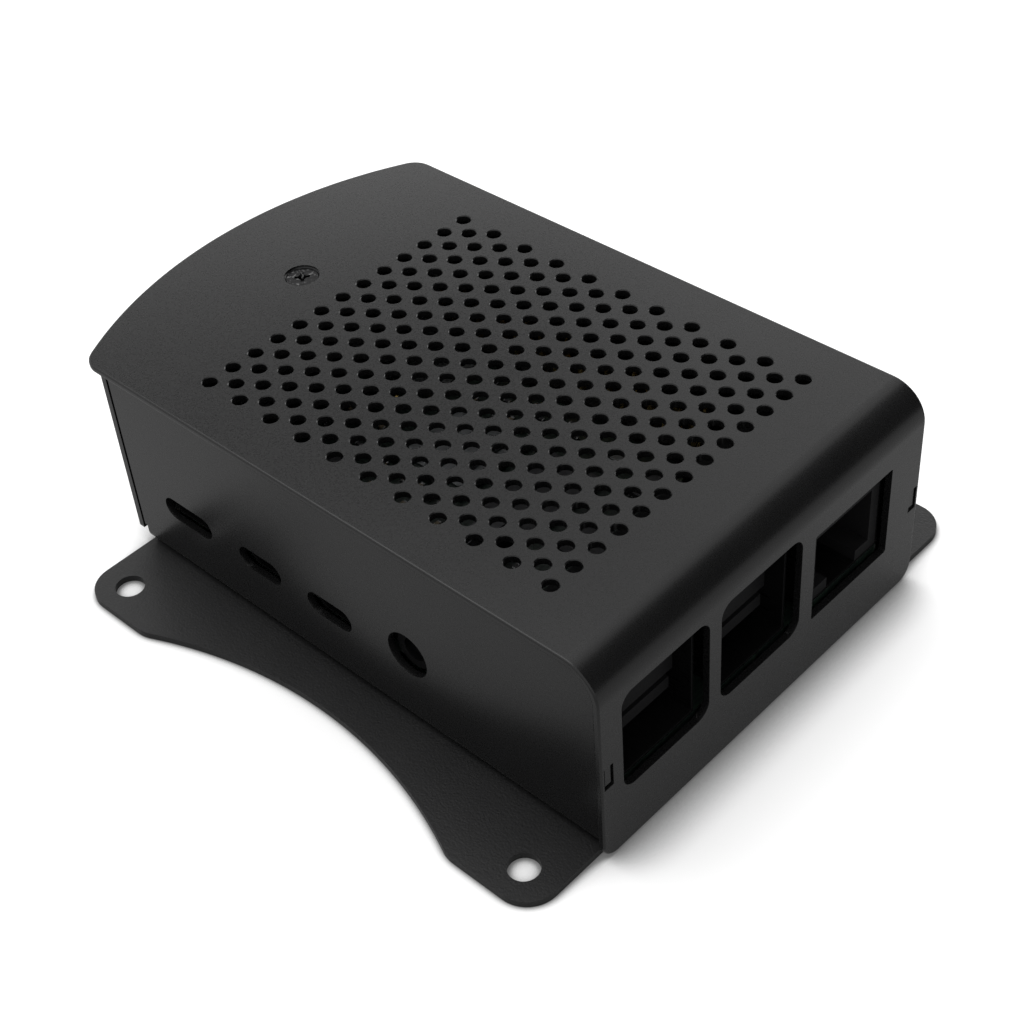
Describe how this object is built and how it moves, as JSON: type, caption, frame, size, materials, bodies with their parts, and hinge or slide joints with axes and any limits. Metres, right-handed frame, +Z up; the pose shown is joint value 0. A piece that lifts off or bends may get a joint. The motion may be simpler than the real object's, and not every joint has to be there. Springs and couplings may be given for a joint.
{
  "type": "single board computer",
  "caption": "Compact single board computer in a black vented sheet-metal case with a port panel, side sockets, a slide-off cover and a screw-down mounting plate with ears.",
  "frame": {"origin": "middle of the four ear holes, on the underside of the mounting plate", "axes": "+X along the case towards the port panel, +Y away from the power and picture sockets, +Z up"},
  "size_m": [0.0992, 0.087, 0.032],
  "materials": {
    "black_coat": "satin black powder coat with a fine grain",
    "black_zinc": "satin black plating",
    "bright_steel": "plain bright steel",
    "brass_post": "turned brass",
    "board_mask": "green-black solder mask",
    "metal_can": "dull nickel",
    "chip_black": "moulded black",
    "dark_nickel": "black nickel plating",
    "port_plastic": "moulded black plastic",
    "latch_plastic": "dark grey plastic",
    "gold_plate": "gold plated",
    "card_black": "matte black plastic",
    "red_lamp": "clear red",
    "green_lamp": "clear green",
    "ceramic": "fired ceramic"
  },
  "bodies": {
    "base": {"mounting_plate": "black_coat", "base_tray": "black_coat", "board_standoffs": "brass_post", "board_screws": "bright_steel", "circuit_board": "board_mask", "processor": "board_mask", "heat_spreader": "metal_can", "memory_chip": "chip_black", "power_chip": "chip_black", "port_controller": "chip_black", "network_controller": "chip_black", "wireless_shield": "metal_can", "near_data_shell": "dark_nickel", "near_data_insert": "port_plastic", "far_data_shell": "dark_nickel", "far_data_insert": "port_plastic", "network_shell": "dark_nickel", "network_insert": "port_plastic", "network_contacts": "gold_plate", "power_shell": "dark_nickel", "power_tongue": "port_plastic", "rear_video_shell": "dark_nickel", "rear_video_tongue": "port_plastic", "front_video_shell": "dark_nickel", "front_video_tongue": "port_plastic", "audio_body": "port_plastic", "audio_barrel": "dark_nickel", "pin_header_base": "port_plastic", "pin_header_pins": "gold_plate", "small_header_base": "port_plastic", "small_header_pins": "gold_plate", "display_socket": "port_plastic", "camera_socket": "port_plastic", "card_socket": "bright_steel", "power_lamp": "red_lamp", "activity_lamp": "green_lamp", "crystals": "metal_can", "inductors": "chip_black", "capacitors": "ceramic"},
    "cover": {"top_cover": "black_coat", "cover_nut": "bright_steel"},
    "cover_screw": {"cover_screw": "black_zinc"},
    "memory_card": {"memory_card": "card_black"},
    "display_latch": {"display_latch": "latch_plastic"},
    "camera_latch": {"camera_latch": "latch_plastic"}
  },
  "joints": [
    {"name": "cover_slide", "type": "slide", "parent": "base", "child": "cover", "axis": [1, 0, 0], "range_m": [0, 0.095]},
    {"name": "cover_screw_lift", "type": "slide", "parent": "cover", "child": "cover_screw", "axis": [0, 0, 1], "range_m": [0, 0.005]},
    {"name": "memory_card_slide", "type": "slide", "parent": "base", "child": "memory_card", "axis": [-1, 0, 0], "range_m": [0, 0.015]},
    {"name": "display_latch_lift", "type": "slide", "parent": "base", "child": "display_latch", "axis": [0, 0, 1], "range_m": [0, 0.0015]},
    {"name": "camera_latch_lift", "type": "slide", "parent": "base", "child": "camera_latch", "axis": [0, 0, 1], "range_m": [0, 0.0015]}
  ]
}
